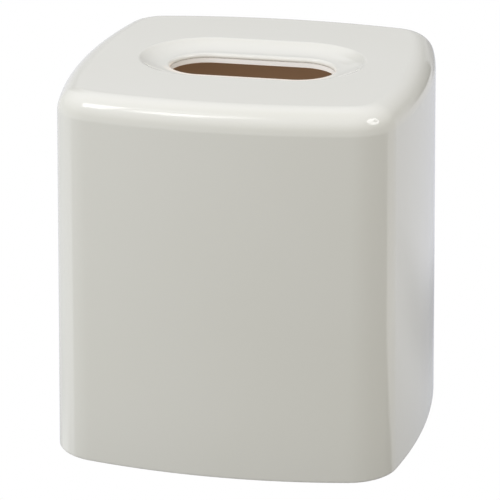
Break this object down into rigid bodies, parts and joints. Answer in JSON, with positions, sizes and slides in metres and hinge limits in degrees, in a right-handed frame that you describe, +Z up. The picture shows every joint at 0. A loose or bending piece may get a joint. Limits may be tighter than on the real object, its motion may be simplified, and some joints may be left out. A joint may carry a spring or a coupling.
{
  "type": "tissue box cover",
  "caption": "Square open-bottomed tissue box cover with bowed walls, rounded edges and a dished top around a lipped oblong slot, over an inner liner.",
  "frame": {"origin": "middle of the footprint, on the plane of the lower rim", "axes": "+Z up, X along the slot's length, Y across the slot"},
  "size_m": [0.1416, 0.1416, 0.1433],
  "materials": {
    "shell": "polished off-white moulding",
    "ring": "satin cream moulding",
    "liner": "plain warm brown moulding"
  },
  "bodies": {
    "root": {"outer_shell": "shell", "slot_ring": "ring", "inner_liner": "liner"}
  },
  "joints": []
}
